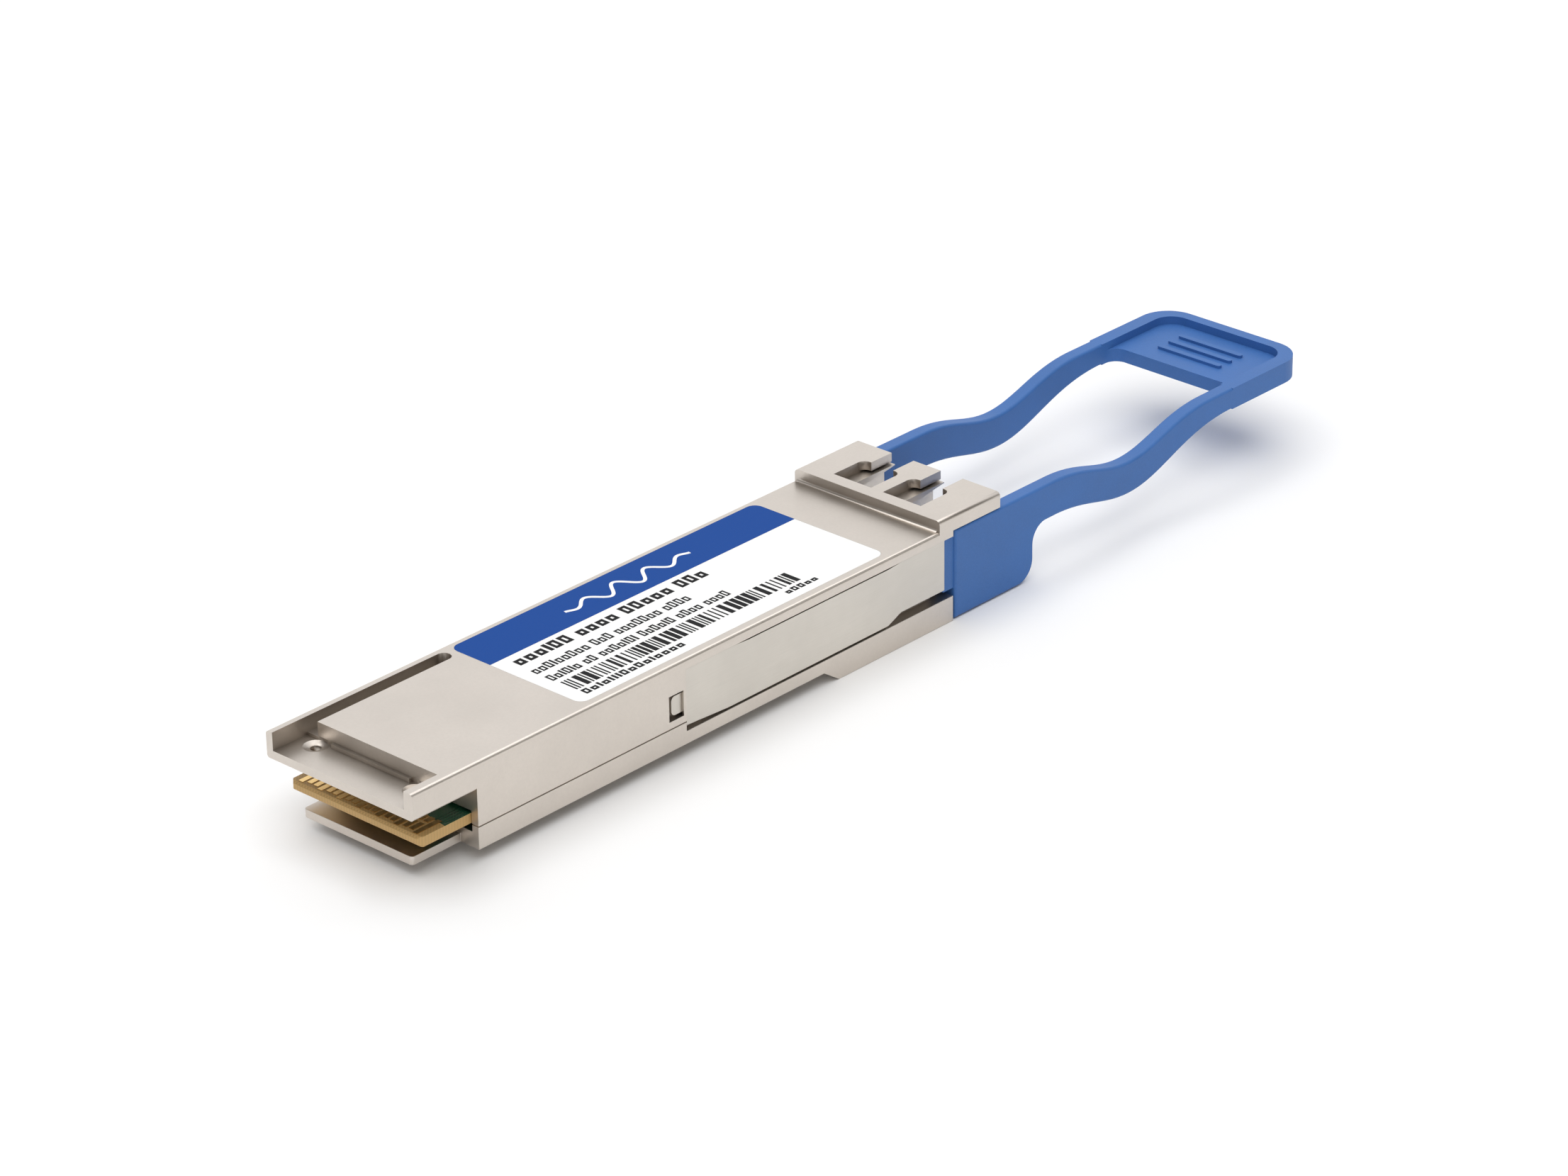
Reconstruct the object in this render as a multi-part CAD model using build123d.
from build123d import *
import os

# Pluggable four-lane optical transceiver with a duplex LC receptacle and a flexible pull tab.
# Millimetres, +Z up.  Pieces are drawn in the nose frame: y = 0 is the tip of the electrical nose and
# y grows towards the optical end and the pull tab, z = 0 is the underside of the section that enters
# the cage, and x = 0 is the mid plane.  write_part() moves them to the row frame, whose origin is the
# middle of the base of the whole object.

# ---- overall sizes -------------------------------------------------------------------------------
module_width = 18.35
module_height = 8.5
body_length = 77.4
nose_to_stop = 52.4
stop_depth = 1.33
stop_ramp_length = 2.0
head_length = 8.75
head_rise = 1.18
tab_reach = 47.65

# ---- fits and small clearances -------------------------------------------------------------------
slide_gap = 0.1
seat_gap = 0.02
board_gap = 0.15
edge_radius = 0.35
head_edge_radius = 0.45

# ---- shells --------------------------------------------------------------------------------------
parting_height = 2.2
seam_groove = 0.12
roof_thickness = 1.0
floor_thickness = 0.85
side_wall = 0.82
spring_wall = 1.68
hood_thickness = 0.85
hood_length = 7.65
nose_floor_drop = 1.8
nose_floor_length = 4.05
nose_ridge = 1.07
nose_wall = 0.8
groove_width = 1.47
groove_end = 20.9
groove_depth = 1.5
shoulder_drop = 1.2
shoulder_wall = 0.6
foot_step_width = 0.35
foot_step_height = 0.4
nose_hole_x = 6.25
nose_hole_y = 3.1
nose_hole_radius = 0.5
nose_sink_radius = 1.15
nose_sink_depth = 0.22
hood_corner = 0.3
head_foot_radius = 0.3
tongue_setback = 2.325
tongue_front = 1.8
front_bay_end = 30.8
bay_play = 0.8
port_wall = 1.4

# ---- release slide and its recess ----------------------------------------------------------------
strip_thickness = 0.5
recess_depth = 0.7
recess_back = 33.95
recess_low = 1.3
strip_low = 1.5
strip_tail_low = 1.85
strip_neck_low = 2.26
strip_tail_length = 5.5
strip_neck_length = 6.2
strip_neck_ramp = 1.8
strip_tight_length = 6.5
strip_end_setback = 8.0
pocket_length = 2.25
pocket_low = 3.0
pocket_high = 5.56
pocket_bar = 0.35
neck_room_depth = 1.2
neck_room_rise = 0.4
tongue_thickness = 0.3
tongue_play = 0.3
tongue_reach = 1.7
tongue_corner = 0.5
insert_setback = 3.4
bridge_thickness = 0.4
bridge_length = 4.0
release_travel = 2.5

# ---- return springs ------------------------------------------------------------------------------
spring_radius = 0.6
spring_wire = 0.2
spring_turns = 9
spring_length = 9.0
spring_setback = 2.8
spring_height = 4.6
lug_thickness = 0.5

# ---- pull tab ------------------------------------------------------------------------------------
tab_thickness = 1.6
plate_gap_behind = 6.5
plate_front_reach = 5.0
plate_corner_radius = 2.2
arm_blend_radius = 1.9
plate_top = 8.0
arm_root_height = 3.72
arm_root_length = 3.2
arm_low_point = 19.4
arm_dip = 1.92
arm_mid_depth = 3.45
grip_length = 12.0
grip_blend_length = 3.5
grip_overlap = 2.0
grip_top = 8.45
grip_depth = 2.25
grip_corner_radius = 3.4
grip_rim = 1.25
grip_floor_drop = 0.85
grip_plate_length = 10.0
grip_plate_blend = 1.4
grip_rib_count = 3
grip_rib_pitch = 1.7
grip_rib_width = 0.6
grip_rib_height = 0.3
grip_rib_length = 8.0
tab_edge_radius = 0.28

# ---- duplex LC receptacle ------------------------------------------------------------------------
port_pitch = 6.25
port_width = 4.75
port_body_height = 4.65
port_depth = 10.4
latch_roof = 0.9
window_back = 7.25
window_length = 4.3
window_corner_radius = 0.8
latch_slot_width = 2.8
latch_shelf_drop = 0.18
latch_shelf_thickness = 0.55
latch_shelf_tip = 0.1
latch_shelf_slot = 1.96
latch_ramp_length = 3.5

# ---- printed circuit and what it carries ---------------------------------------------------------
board_thickness = 1.0
board_underside = 2.3
board_front = 1.6
board_to_package = 1.4
board_end_play = 1.2
board_rest_width = 1.0
board_rest_half_length = 2.0
card_corner = 0.4
card_lead_in = 0.25
contact_count = 19
contact_pitch = 0.8
contact_width = 0.54
contact_thickness = 0.05
contact_front = 0.35
contact_rear = 3.0
contact_setback = 0.3
contact_split = 1.7
contact_split_gap = 0.35
chip_size = 5.0
chip_thickness = 0.8
chip_place_y = 17.0
chip_place_x = 3.7
controller_size = 4.0
controller_y = 25.0
pad_thickness = 0.5
inductor_size = 2.5
inductor_height = 1.2
inductor_pitch = 3.4
inductor_setback = 11.3
oscillator_width = 3.2
oscillator_length = 2.5
oscillator_height = 0.9
oscillator_y = 27.9
can_corner = 0.4
passive_width = 0.5
passive_length = 1.0
passive_height = 0.35
passive_row_count = 7
passive_row_pitch = 1.7
passive_setback = 5.5
flex_width = 4.4
flex_thickness = 0.12
flex_overlap = 1.6
flex_share = 0.72

# ---- optical sub-assemblies ----------------------------------------------------------------------
package_side_play = 0.4
package_height = 5.0
tosa_length = 13.6
rosa_length = 12.4
barrel_radius = 2.2
barrel_neck_radius = 1.85
barrel_nose_radius = 1.45
barrel_neck_start = 2.4
barrel_neck_length = 2.0
barrel_flange_length = 1.0
barrel_nose_reach = 4.5
sleeve_radius = 0.8
ferrule_bore_radius = 0.63
sleeve_inset = 0.3
stub_length = 2.6

# ---- screws, gaskets and label -------------------------------------------------------------------
screw_radius = 0.8
screw_head_radius = 1.3
screw_head_height = 0.7
screw_length = 4.6
screw_hex = 1.1
boss_radius = 1.5
front_screw_setback = 4.6
rear_screw_play = 0.12
gasket_width = 0.3
gasket_height = 0.25
label_length = 40.4
label_width = 16.6
label_offset = -0.15
label_front = 21.7
label_thickness = 0.1
label_corner_radius = 1.0

# ---- values worked out from the ones above -------------------------------------------------------
half_width = module_width / 2
head_top = module_height + head_rise
head_back = body_length - head_length
tab_end = body_length + tab_reach
roof = module_height - roof_thickness
optical_height = module_height / 2
nose_floor_height = module_height - nose_floor_drop
hood_underside = nose_floor_height - hood_thickness
groove_floor_height = module_height - groove_depth
shoulder_height = roof - shoulder_drop
shoulder_half_width = half_width - nose_wall - groove_width - shoulder_wall
tongue_half_width = half_width - tongue_setback
card_half_width = half_width - side_wall - board_gap
recess_high = roof
recess_floor = half_width - recess_depth
strip_outer = half_width - slide_gap / 2
strip_inner = strip_outer - strip_thickness
strip_end = body_length - strip_end_setback
strip_high = recess_high - 1.5 * slide_gap
strip_tight_high = recess_high - seat_gap
tab_inner = half_width - tab_thickness
deep_floor = tab_inner - slide_gap
insert_outer = half_width - (tab_thickness - strip_thickness) / 2 - slide_gap
insert_inner = insert_outer - strip_thickness
plate_back = body_length - plate_gap_behind
plate_front = body_length + plate_front_reach
bridge_back = plate_back + 1.5
bridge_low = -stop_depth + 2 * slide_gap
bridge_high = bridge_low + bridge_thickness
window_front = body_length - window_back + window_length
port_back = body_length - port_depth
port_low = optical_height - port_body_height / 2
port_high = optical_height + port_body_height / 2
latch_ceiling = head_top - latch_roof
barrel_bay_end = port_back - port_wall
neck_front = barrel_bay_end - barrel_flange_length
neck_back = neck_front - barrel_neck_length
package_end = neck_back - barrel_neck_start
package_start = package_end - tosa_length
board_end = package_start - board_to_package
middle_bay_end = board_end - board_end_play
rear_bay_end = package_end + bay_play
board_top = board_underside + board_thickness
contact_start = board_front + contact_front
package_low = optical_height - package_height / 2
package_high = optical_height + package_height / 2
rear_bay_half = recess_floor - spring_wall
package_width = rear_bay_half - 2 * package_side_play
package_x = rear_bay_half / 2
barrel_end = port_back + barrel_nose_reach
spring_x = recess_floor - spring_radius - 2 * slide_gap
spring_start = middle_bay_end + spring_setback
front_screw_x = recess_floor - side_wall - boss_radius - board_gap
front_screw_y = board_end - front_screw_setback
rear_screw_x = port_pitch / 2 + barrel_radius + boss_radius + rear_screw_play
rear_screw_y = neck_back + barrel_neck_length / 2
board_waist_half = front_screw_x - boss_radius - board_gap
inductor_y = board_end - inductor_setback


def block(x0, x1, y0, y1, z0, z1):
    """A box between two opposite corners."""
    return Pos((x0 + x1) / 2, (y0 + y1) / 2, (z0 + z1) / 2) * Box(x1 - x0, y1 - y0, z1 - z0)


def rod(radius, x, y0, y1, z):
    """A round bar along Y."""
    return Pos(x, (y0 + y1) / 2, z) * Rot(90, 0, 0) * Cylinder(radius, y1 - y0)


def post(radius, x, y, z0, z1):
    """A round bar along Z."""
    return Pos(x, y, (z0 + z1) / 2) * Cylinder(radius, z1 - z0)


def both_sides(shape):
    """The shape and its mirror image across the mid plane."""
    return shape + mirror(shape, about=Plane.YZ)


def side_profile(points, x0, x1):
    """A prism between x0 and x1 whose outline is given as (y, z) points."""
    face = Plane.YZ.offset(x0) * make_face(Polyline(*points, close=True))
    return extrude(face, x1 - x0)


def port_centres():
    """The x of the two LC ports."""
    return (-port_pitch / 2, port_pitch / 2)


def screw_places():
    """The (x, y) of the four housing screws."""
    return [
        (side * x, y)
        for x, y in ((front_screw_x, front_screw_y), (rear_screw_x, rear_screw_y))
        for side in (-1, 1)
    ]


def screw_floor(y):
    """The height of the lower shell's outside face where a screw enters it."""
    return -stop_depth if y > nose_to_stop + stop_ramp_length else 0.0


# ---- shells --------------------------------------------------------------------------------------

def latch_shelves(x):
    """Two thin shelves under a latch window; they thin out towards the front to guide the latch."""
    high = latch_ceiling - latch_shelf_drop
    low = high - latch_shelf_thickness
    start = body_length - window_back
    outline = [
        (start, low),
        (body_length - latch_ramp_length, low),
        (body_length, high - latch_shelf_tip),
        (body_length, high),
        (start, high),
    ]
    shelf = side_profile(outline, x - port_width / 2, x + port_width / 2)
    half = latch_shelf_slot / 2
    return shelf - block(x - half, x + half, start - 1, body_length + 1, low - 1, high + 1)


def port_space():
    """The two LC ports with their latch windows and slots, open at the optical face."""
    past = body_length + 5
    window_start = body_length - window_back
    space = None
    for x in port_centres():
        x0 = x - port_width / 2
        x1 = x + port_width / 2
        body = block(x0, x1, port_back, past, port_low, port_high)
        latch_room = block(x0, x1, window_start, past, port_high - 1, latch_ceiling)
        window = block(x0, x1, window_start, window_front, port_high, head_top + 1)
        front_corners = window.edges().filter_by(Axis.Z).group_by(Axis.Y)[-1]
        window = fillet(front_corners, window_corner_radius)
        slot = block(x - latch_slot_width / 2, x + latch_slot_width / 2, window_start, past,
                     port_high, head_top + 1)
        one = body + latch_room + window + slot - latch_shelves(x)
        space = one if space is None else space + one
    return space


def slide_space():
    """The side recesses, latch pockets, spring pockets and tab recesses, on both sides."""
    out = half_width + 1
    recess = block(recess_floor, out, recess_back, body_length + 1, recess_low, recess_high)
    pocket_back = recess_back - pocket_length
    pocket = block(recess_floor, out, pocket_back, recess_back - pocket_bar, pocket_low, pocket_high)
    passage = block(recess_floor, half_width - recess_depth / 3, pocket_back, recess_back + 1,
                    pocket_low, pocket_high)
    deep = block(deep_floor, out, strip_end - 3 * slide_gap - strip_thickness, body_length + 1,
                 recess_low, recess_high)
    plate_room = block(deep_floor, out, plate_back - 3 * slide_gap, body_length + 1,
                       -stop_depth - 1, plate_top + slide_gap)
    neck_start = strip_end - strip_neck_length
    neck_room = block(half_width - neck_room_depth, out, neck_start - strip_neck_ramp, strip_end,
                      recess_low, strip_neck_low + neck_room_rise)
    spring_low = spring_height - spring_radius - slide_gap
    spring_high = spring_height + spring_radius + slide_gap
    spring_room = block(spring_x - spring_radius - slide_gap, out,
                        spring_start - lug_thickness - slide_gap, spring_start + spring_length,
                        spring_low, spring_high)
    return both_sides(recess + pocket + passage + deep + plate_room + neck_room + spring_room)


def bays():
    """The inside of the closed shells: board bay, package bay and barrel bay."""
    low = floor_thickness
    wide = half_width - side_wall
    front_low = block(-wide, wide, hood_length + side_wall, front_bay_end, low, shoulder_height)
    front_high = block(-shoulder_half_width, shoulder_half_width, hood_length + side_wall,
                       front_bay_end + 0.01, low, roof)
    middle_half = recess_floor - side_wall
    middle = block(-middle_half, middle_half, front_bay_end, middle_bay_end, low, roof)
    rear = block(-rear_bay_half, rear_bay_half, middle_bay_end, rear_bay_end, low, roof)
    barrel_half = port_pitch / 2 + barrel_radius + board_gap
    barrel = block(-barrel_half, barrel_half, rear_bay_end, barrel_bay_end, low, roof)
    return front_low + front_high + middle + rear + barrel


def nose_openings():
    """The barrel noses pass the port wall through slots that are open towards the lower shell."""
    space = None
    radius = barrel_nose_radius + seat_gap
    for x in port_centres():
        hole = rod(radius, x, barrel_bay_end - 1, port_back + 1, optical_height)
        slot = block(x - radius, x + radius, barrel_bay_end - 1, port_back + 1,
                     parting_height - 1, optical_height)
        space = hole + slot if space is None else space + hole + slot
    return space


def nose_cuts():
    """Everything that shapes the electrical nose of the upper shell."""
    mouth = block(-half_width - 1, half_width + 1, -1, hood_length, -1, hood_underside)
    left = -half_width + nose_wall
    right = half_width - nose_ridge
    floor_cut = block(left, right, -1, nose_floor_length, nose_floor_height, module_height + 1)
    groove = block(left, left + groove_width, nose_floor_length - 1, groove_end,
                   groove_floor_height, module_height + 1)
    end_corners = groove.edges().filter_by(Axis.Z).group_by(Axis.Y)[-1]
    groove = fillet(end_corners, groove_width * 0.48)
    foot_high = nose_floor_height + foot_step_height
    holes = None
    for x in (-nose_hole_x, nose_hole_x):
        sink = Pos(x, nose_hole_y, nose_floor_height - nose_sink_depth / 2) * Cone(
            nose_hole_radius, nose_sink_radius, nose_sink_depth)
        scoop = post(nose_sink_radius, x, nose_hole_y, nose_floor_height, foot_high)
        hole = post(nose_hole_radius, x, nose_hole_y, hood_underside - 1, nose_floor_height)
        holes = sink + scoop + hole if holes is None else holes + sink + scoop + hole
    card_slot = block(-half_width + side_wall, half_width - side_wall, 0, hood_length + side_wall + 1,
                      0, board_top + 2 * board_gap)
    step_half = nose_hole_x - nose_sink_radius - foot_step_width / 2
    step = block(-step_half, step_half, nose_floor_length - foot_step_width,
                 nose_floor_length, nose_floor_height, foot_high)
    return mouth + (floor_cut - step) + groove + holes + card_slot


def seam_relief():
    """A fine groove along the bottom edge of the upper shell, which marks the seam."""
    past = half_width + 1
    high = parting_height + seam_groove
    side = block(half_width - seam_groove, past, hood_length, body_length + 1, parting_height, high)
    front = block(-past, past, hood_length, hood_length + seam_groove, parting_height, high)
    return both_sides(side) + front


def head_foot():
    """The hollow round where the roof turns up into the head."""
    half = half_width - edge_radius
    radius = head_foot_radius
    corner = block(-half, half, head_back - radius, head_back, module_height, module_height + radius)
    round_bar = Pos(0, head_back - radius, module_height + radius) * Rot(0, 90, 0) * Cylinder(
        radius, module_width)
    return corner - round_bar


def hood_corners():
    """What rounds the hood's two lower long edges."""
    radius = hood_corner
    cuts = None
    for side in (-1, 1):
        x0 = side * (half_width - radius)
        x1 = side * (half_width + 1)
        corner = block(min(x0, x1), max(x0, x1), -1, hood_length, hood_underside - 1,
                       hood_underside + radius)
        corner = corner - rod(radius, x0, -1, hood_length, hood_underside + radius)
        cuts = corner if cuts is None else cuts + corner
    return cuts


def board_rest(side, low, high):
    """A block on the side wall that holds the board's edge from above or below."""
    wall = side * (half_width - side_wall)
    inner = side * (card_half_width - board_rest_width)
    return block(min(wall, inner), max(wall, inner), chip_place_y - board_rest_half_length,
                 chip_place_y + board_rest_half_length, low, high)


def upper_housing():
    """Die-cast top shell: hood over the card, roof, side walls and the raised head with the ports."""
    shell = block(-half_width, half_width, 0, body_length, parting_height, module_height)
    shell = fillet(shell.edges().filter_by(Axis.Y).group_by(Axis.Z)[-1], edge_radius)
    head = block(-half_width, half_width, head_back, body_length, parting_height, head_top)
    head = fillet(head.edges().filter_by(Axis.Y).group_by(Axis.Z)[-1], head_edge_radius)
    body = shell + head + head_foot()
    body = body - bays() - nose_cuts() - hood_corners() - slide_space() - port_space() - nose_openings()
    body = body - label_plate(seat_gap, head_top) - seam_relief()
    for side in (-1, 1):
        x = side * chip_place_x
        half = chip_size / 2
        body = body + block(x - half, x + half, chip_place_y - half, chip_place_y + half,
                            board_top + chip_thickness + pad_thickness, roof)
        body = body + board_rest(side, board_top, shoulder_height)
    for x, y in screw_places():
        boss = post(boss_radius, x, y, parting_height, roof)
        core = post(screw_radius + seat_gap, x, y, parting_height - 1,
                    screw_floor(y) + screw_head_height + screw_length + seat_gap)
        body = body + (boss - slide_space()) - core
    return body


def lower_housing():
    """Die-cast bottom shell with the front tongue, the stop step and the lower part of the ports."""
    stop_end = nose_to_stop + stop_ramp_length
    outline = [
        (hood_length, 0),
        (nose_to_stop, 0),
        (stop_end, -stop_depth),
        (body_length, -stop_depth),
        (body_length, parting_height),
        (hood_length, parting_height),
    ]
    body = side_profile(outline, -half_width, half_width)
    tongue = block(-tongue_half_width, tongue_half_width, tongue_front, hood_length + 1,
                   0, floor_thickness)
    tongue = fillet(tongue.edges().filter_by(Axis.Z).group_by(Axis.Y)[0], edge_radius)
    card_slot = block(-half_width + side_wall, half_width - side_wall, 0, hood_length + side_wall + 1,
                      board_underside - 0.75, parting_height + 1)
    body = body + tongue - bays() - card_slot - slide_space() - port_space() - nose_openings()
    bridge_room = block(-half_width - 1, half_width + 1, bridge_back - 3 * slide_gap, body_length + 1,
                        -stop_depth - 1, bridge_high + slide_gap)
    body = body - bridge_room
    for side in (-1, 1):
        body = body + board_rest(side, floor_thickness, board_underside)
        groove_x = side * (half_width - side_wall / 2)
        body = body - block(groove_x - gasket_width / 2, groove_x + gasket_width / 2,
                            hood_length + 2, front_bay_end, parting_height - gasket_height,
                            parting_height)
    for x, y in screw_places():
        outside = screw_floor(y)
        boss = post(boss_radius, x, y, outside, parting_height)
        body = body + (boss - slide_space())
        body = body - post(screw_radius + seat_gap, x, y, outside - 1, parting_height + 1)
        body = body - post(screw_head_radius + seat_gap, x, y, outside - 1,
                           outside + screw_head_height)
    return body


def housing_screws():
    """Four flat-headed screws that pull the shells together from below."""
    screws = []
    for x, y in screw_places():
        low = screw_floor(y)
        head = post(screw_head_radius, x, y, low, low + screw_head_height)
        shank = post(screw_radius, x, y, low, low + screw_head_height + screw_length)
        hexagon = extrude(Pos(x, y, low) * RegularPolygon(screw_hex / 2, 6), screw_head_height * 0.7)
        screws.append(head + shank - hexagon)
    return Compound(screws)


def seam_gaskets():
    """Two conductive elastomer cords in the grooves along the front seam."""
    cords = []
    for side in (-1, 1):
        x = side * (half_width - side_wall / 2)
        cords.append(block(x - gasket_width / 2, x + gasket_width / 2, hood_length + 2, front_bay_end,
                           parting_height - gasket_height, parting_height))
    return Compound(cords)


def label_plate(gap, top):
    """The label's outline grown by a gap, from the floor of its recess up to a given height."""
    half = label_width / 2 + gap
    plate = block(label_offset - half, label_offset + half, label_front - gap,
                  label_front + label_length + gap, module_height - label_thickness, top)
    return fillet(plate.edges().filter_by(Axis.Z), label_corner_radius + gap)


def label():
    """Printed polyester label, flush in a shallow recess of the roof."""
    return label_plate(0, module_height)


# ---- printed circuit -----------------------------------------------------------------------------

def main_pcb():
    """The board: its front is the paddle card, and it is waisted round the screw bosses."""
    low = board_underside
    card = block(-card_half_width, card_half_width, board_front, front_bay_end - board_gap,
                 low, board_top)
    card = chamfer(card.edges().filter_by(Axis.Z).group_by(Axis.Y)[0], card_corner)
    lead_in = card.faces().sort_by(Axis.Y)[0].edges().filter_by(Axis.X)
    card = chamfer(lead_in, card_lead_in)
    middle_half = recess_floor - side_wall - board_gap
    middle = block(-middle_half, middle_half, front_bay_end - 1, front_screw_y - boss_radius - 0.5,
                   low, board_top)
    waist = block(-board_waist_half, board_waist_half, front_screw_y - 4, board_end, low, board_top)
    return card + middle + waist


def contact_row(low):
    """One row of nineteen gold contacts: every third is long, the others are split in two."""
    high = low + contact_thickness
    first = -(contact_count - 1) / 2 * contact_pitch
    pads = []
    for index in range(contact_count):
        x = first + index * contact_pitch
        half = contact_width / 2
        split = contact_start + contact_split
        end = contact_start + contact_rear
        if index % 3 == 0:
            pads.append(block(x - half, x + half, contact_start, end, low, high))
        else:
            start = contact_start + contact_setback
            pads.append(block(x - half, x + half, start, split, low, high))
            pads.append(block(x - half, x + half, split + contact_split_gap, end, low, high))
    return Compound(pads)


def chip(x, y, size, thickness):
    """A square package with broken upper edges, on top of the board."""
    body = block(x - size / 2, x + size / 2, y - size / 2, y + size / 2,
                 board_top, board_top + thickness)
    return chamfer(body.edges().group_by(Axis.Z)[-1], thickness * 0.15)


def power_inductors():
    """Three shielded power inductors on the middle of the board."""
    parts = []
    half = inductor_size / 2
    for index in (-1, 0, 1):
        x = index * inductor_pitch
        body = block(x - half, x + half, inductor_y - half, inductor_y + half,
                     board_top, board_top + inductor_height)
        parts.append(fillet(body.edges().filter_by(Axis.Z), can_corner))
    return Compound(parts)


def oscillator():
    """Reference oscillator in a metal can."""
    can = block(-oscillator_width / 2, oscillator_width / 2, oscillator_y,
                oscillator_y + oscillator_length, board_top, board_top + oscillator_height)
    return fillet(can.edges().filter_by(Axis.Z), can_corner)


def passive(x, y, low):
    """One chip capacitor or resistor, lying along Y."""
    return block(x - passive_width / 2, x + passive_width / 2, y, y + passive_length,
                 low, low + passive_height)


def passives():
    """Rows of chip capacitors and resistors on both faces of the board."""
    parts = []
    first_x = -(passive_row_count - 1) / 2 * passive_row_pitch
    for row in range(2):
        y = contact_start + contact_rear + passive_setback + row * passive_row_pitch
        for index in range(passive_row_count):
            parts.append(passive(first_x + index * passive_row_pitch, y, board_top))
    for row in range(3):
        y = controller_y + (row - 1.5) * passive_row_pitch
        for side in (-1, 1):
            for column in range(3):
                x = side * (controller_size / 2 + 1.2 + column * passive_row_pitch * 0.7)
                parts.append(passive(x, y, board_top))
    for index in range(9):
        y = chip_place_y + (index - 2) * 2 * passive_length
        parts.append(passive(0, y, board_underside - passive_height))
    return Compound(parts)


def thermal_pads():
    """Gap pads from the clock recovery chips and the optical packages to the upper shell."""
    pads = []
    half = chip_size / 2 - 0.2
    for x in (-chip_place_x, chip_place_x):
        low = board_top + chip_thickness
        pads.append(block(x - half, x + half, chip_place_y - half, chip_place_y + half,
                          low, low + pad_thickness))
    for x in (-package_x, package_x):
        pads.append(block(x - 2.5, x + 2.5, package_end - 10, package_end - 1, package_high, roof))
    return Compound(pads)


# ---- optical sub-assemblies ----------------------------------------------------------------------

def optical_package(x, length):
    """Hermetic box with a stepped lid."""
    half = package_width / 2
    base = block(x - half, x + half, package_end - length, package_end,
                 package_low, package_high - 0.6)
    lid = block(x - half + 0.3, x + half - 0.3, package_end - length + 0.3, package_end - 0.3,
                package_high - 0.6, package_high)
    return fillet(base.edges().filter_by(Axis.Z), 0.3) + lid


def optical_barrel(x):
    """Turned barrel: rear flange, clamped neck, front flange and the nose inside the port."""
    z = optical_height
    flange_end = barrel_bay_end - seat_gap
    body = rod(barrel_radius, x, package_end, neck_back, z)
    body = body + rod(barrel_neck_radius, x, neck_back, neck_front, z)
    body = body + rod(barrel_radius, x, neck_front, flange_end, z)
    body = body + rod(barrel_nose_radius, x, flange_end, barrel_end, z)
    return body - rod(sleeve_radius + seat_gap, x, neck_back, barrel_end + 1, z)


def optical_sleeve(x):
    """Ceramic sleeve in front of the fibre stub; it takes the plug's ferrule."""
    stub_end = neck_back + stub_length
    tube = rod(sleeve_radius, x, stub_end, barrel_end - sleeve_inset, optical_height)
    return tube - rod(ferrule_bore_radius, x, stub_end - 1, barrel_end + 1, optical_height)


def optical_stub(x):
    """Fibre stub in its holder, at the bottom of the barrel's bore."""
    return rod(sleeve_radius, x, neck_back, neck_back + stub_length, optical_height)


def flex(x, length):
    """Flexible circuit from the top of the board to the back of an optical package."""
    low = board_top
    high = low + flex_thickness
    back = package_end - length
    rise = optical_height + 0.5
    outline = [
        (board_end - flex_overlap, low),
        (board_end + 0.2, low),
        (back - flex_thickness - 0.1, rise - 0.4),
        (back, rise - 0.4),
        (back, rise - 0.4 + flex_thickness),
        (back - flex_thickness - 0.16, rise - 0.4 + flex_thickness),
        (board_end + 0.12, high),
        (board_end - flex_overlap, high),
    ]
    return side_profile(outline, x - flex_width / 2, x + flex_width / 2)


def receptacle_clamp():
    """Saddle plate that holds both barrels by their necks; they drop in from above."""
    half = port_pitch / 2 + barrel_radius
    plate = block(-half, half, neck_back + seat_gap, neck_front - seat_gap, floor_thickness, roof)
    radius = barrel_neck_radius + seat_gap
    for x in port_centres():
        plate = plate - rod(radius, x, neck_back - 1, neck_front + 1, optical_height)
        plate = plate - block(x - radius, x + radius, neck_back - 1, neck_front + 1,
                              optical_height, roof + 1)
    return plate


# ---- release mechanism ---------------------------------------------------------------------------

def release_slide():
    """Stamped stainless U: two side strips joined by a bridge under the optical end."""
    neck_start = strip_end - strip_neck_length
    strip_start = recess_back + slide_gap / 2
    outline = [
        (strip_start, strip_tail_low),
        (strip_start + strip_tail_length, strip_low),
        (neck_start - strip_neck_ramp, strip_low),
        (neck_start, strip_neck_low),
        (strip_end, strip_neck_low),
        (strip_end, strip_tight_high),
        (neck_start, strip_tight_high),
        (neck_start - strip_neck_ramp, strip_high),
        (strip_start + strip_tight_length + strip_neck_ramp, strip_high),
        (strip_start + strip_tight_length, strip_tight_high),
        (strip_start, strip_tight_high),
    ]
    strip = side_profile(outline, strip_inner, strip_outer)
    tongue = block(strip_inner, strip_inner + tongue_thickness, recess_back - tongue_reach,
                   recess_back + 1, pocket_low + tongue_play, pocket_high - tongue_play)
    tongue = fillet(tongue.edges().filter_by(Axis.X).group_by(Axis.Y)[0], tongue_corner)
    joggle = block(insert_inner, strip_outer, strip_end - strip_thickness, strip_end,
                   strip_neck_low, strip_high)
    insert = block(insert_inner, insert_outer, strip_end - strip_thickness,
                   plate_front - insert_setback, strip_neck_low, strip_high)
    web = block(insert_inner, insert_outer, bridge_back, bridge_back + bridge_length,
                bridge_low, strip_high)
    lug = block(spring_x - spring_radius, strip_inner + 0.1, spring_start - lug_thickness,
                spring_start, spring_height - spring_radius, spring_height + spring_radius)
    side = strip + tongue + joggle + insert + web + lug
    bridge = block(-insert_outer, insert_outer, bridge_back, bridge_back + bridge_length,
                   bridge_low, bridge_high)
    return both_sides(side) + bridge


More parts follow.
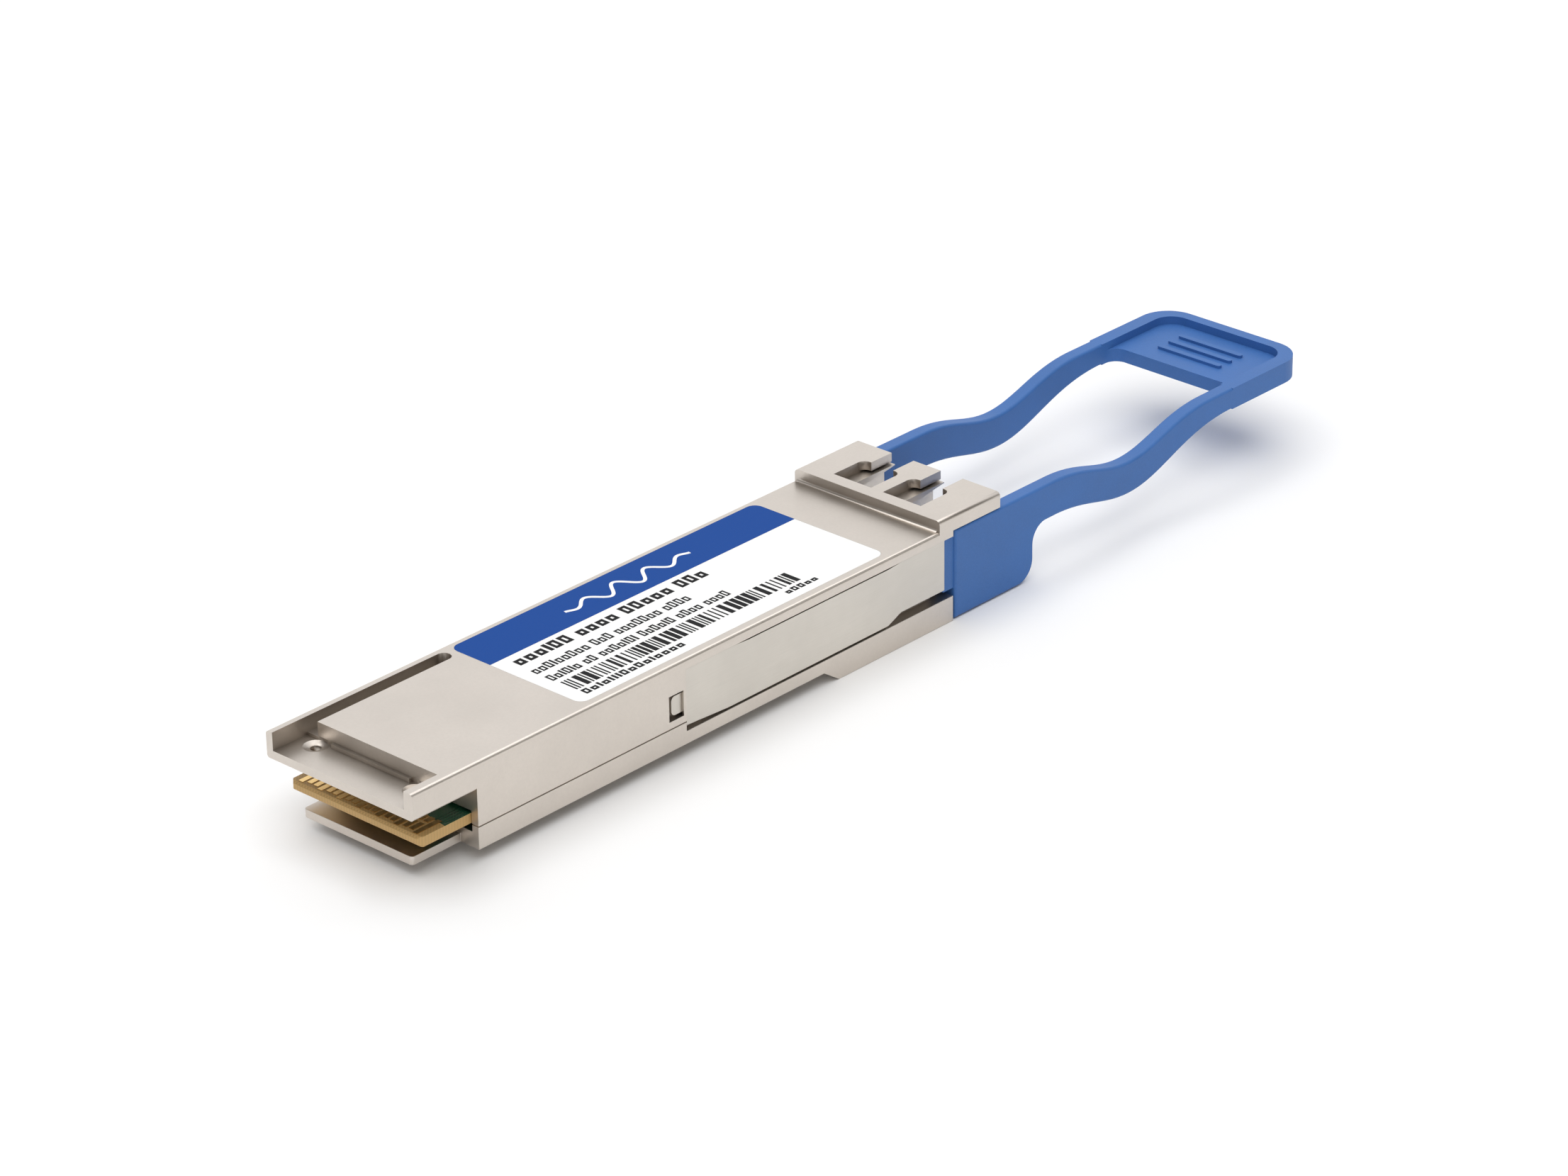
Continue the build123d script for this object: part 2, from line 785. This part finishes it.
def arm_profile():
    """Side view of one pull-tab arm with its plate, as a face on the (y, z) plane."""
    grip_start = tab_end - grip_length
    root = plate_front + arm_root_length
    root_low = plate_top - arm_root_height
    low_y = body_length + arm_low_point
    grip_low = grip_top - grip_depth
    plate_low = -stop_depth + slide_gap
    plate = make_face(Polyline(
        (plate_back, plate_low),
        (plate_front, plate_low),
        (plate_front, root_low),
        (root, root_low),
        (root, plate_top),
        (plate_back, plate_top),
        close=True,
    ))
    bottom_front = plate.vertices().sort_by_distance((plate_front, plate_low))[0]
    plate = fillet(bottom_front, plate_corner_radius)
    inner_corner = plate.vertices().sort_by_distance((plate_front, root_low))[0]
    plate = fillet(inner_corner, arm_blend_radius)
    top_low = plate_top - arm_dip
    flat = (1, 0)
    blend = grip_start - grip_blend_length
    past = grip_start + grip_overlap
    top = Spline((root, plate_top), (low_y, top_low), (blend, grip_top),
                 tangents=[flat, flat, flat])
    bottom = Spline((root, root_low), (low_y, top_low - arm_mid_depth), (grip_start, grip_low),
                    tangents=[flat, flat, flat])
    end_low = Line((grip_start, grip_low), (past, grip_low))
    end = Line((past, grip_low), (past, grip_top))
    end_high = Line((past, grip_top), (blend, grip_top))
    start = Line((root, root_low), (root, plate_top))
    arm = make_face(Curve() + [top, bottom, end_low, end, end_high, start])
    return plate + arm


def grip():
    """The finger grip: a rounded rim round a sunken plate with raised ribs."""
    grip_start = tab_end - grip_length
    low = grip_top - grip_depth
    floor = grip_top - grip_floor_drop
    outer = block(-half_width, half_width, grip_start, tab_end, low, grip_top)
    outer = fillet(outer.edges().filter_by(Axis.Z).group_by(Axis.Y)[-1], grip_corner_radius)
    plate_edge = tab_end - grip_plate_length
    inner = block(-tab_inner, tab_inner, grip_start - 1, tab_end - grip_rim, floor, grip_top + 1)
    inner = fillet(inner.edges().filter_by(Axis.Z).group_by(Axis.Y)[-1],
                   grip_corner_radius - grip_rim)
    hole = block(-tab_inner, tab_inner, grip_start - 1, plate_edge, low - 1, grip_top + 1)
    hole = fillet(hole.edges().filter_by(Axis.Z).group_by(Axis.Y)[-1], grip_plate_blend)
    body = outer - inner - hole
    middle = (plate_edge + tab_end - grip_rim) / 2
    for index in range(grip_rib_count):
        y = middle + (index - (grip_rib_count - 1) / 2) * grip_rib_pitch
        rib = block(-grip_rib_length / 2, grip_rib_length / 2, y - grip_rib_width / 2,
                    y + grip_rib_width / 2, floor - 0.1, floor + grip_rib_height)
        body = body + fillet(rib.edges().filter_by(Axis.Z), grip_rib_width * 0.45)
    return body


def pull_tab():
    """Moulded tab: two side plates, two waved arms and the grip, moulded round the slide."""
    arm = extrude(Plane.YZ.offset(tab_inner) * arm_profile(), tab_thickness)
    rims = arm.faces().filter_by(Axis.X).edges()
    arm = fillet(rims, tab_edge_radius)
    pillar = block(tab_inner + slide_gap, half_width - 0.25, strip_end, plate_back + 1,
                   strip_neck_low - 0.3, strip_high)
    tab = both_sides(arm + pillar) + grip()
    return tab - release_slide()


def return_spring(side):
    """Compression spring in the pocket behind the strip; the slide's lug squeezes it."""
    free = spring_length - 0.05
    mean = spring_radius - spring_wire / 2
    pitch = (free - spring_wire) / spring_turns
    path = Helix(pitch, pitch * spring_turns, mean)
    section = Plane(path @ 0, z_dir=path % 0) * Circle(spring_wire / 2)
    coil = sweep(section, path=path)
    place = Pos(side * spring_x, spring_start + spring_wire / 2 + 0.01, spring_height)
    return place * Rot(-90, 0, 0) * coil


# ---- output --------------------------------------------------------------------------------------

def write_part(name, shape):
    """Move a piece from the nose frame to the row frame and write its STEP file."""
    placed = Pos(0, -tab_end / 2, stop_depth) * shape
    placed.label = name
    export_step(placed, os.path.join("parts", name + ".step"))


def main():
    os.makedirs("parts", exist_ok=True)
    write_part("upper_housing", upper_housing())
    write_part("lower_housing", lower_housing())
    write_part("housing_screws", housing_screws())
    write_part("seam_gaskets", seam_gaskets())
    write_part("label", label())
    write_part("main_pcb", main_pcb())
    write_part("contacts_top", contact_row(board_top))
    write_part("contacts_bottom", contact_row(board_underside - contact_thickness))
    write_part("cdr_tx_chip", chip(-chip_place_x, chip_place_y, chip_size, chip_thickness))
    write_part("cdr_rx_chip", chip(chip_place_x, chip_place_y, chip_size, chip_thickness))
    write_part("microcontroller", chip(0, controller_y, controller_size, chip_thickness))
    write_part("power_inductors", power_inductors())
    write_part("oscillator", oscillator())
    write_part("passives", passives())
    write_part("thermal_pads", thermal_pads())
    assemblies = (("tosa", -1, tosa_length), ("rosa", 1, rosa_length))
    for name, side, length in assemblies:
        axis_x = side * port_pitch / 2
        write_part(name + "_package", optical_package(side * package_x, length))
        write_part(name + "_barrel", optical_barrel(axis_x))
        write_part(name + "_sleeve", optical_sleeve(axis_x))
        write_part(name + "_fibre_stub", optical_stub(axis_x))
        write_part(name + "_flex", flex(side * package_x * flex_share, length))
    write_part("receptacle_clamp", receptacle_clamp())
    write_part("release_slide", release_slide())
    write_part("pull_tab", pull_tab())
    write_part("return_spring_left", return_spring(-1))
    write_part("return_spring_right", return_spring(1))


main()
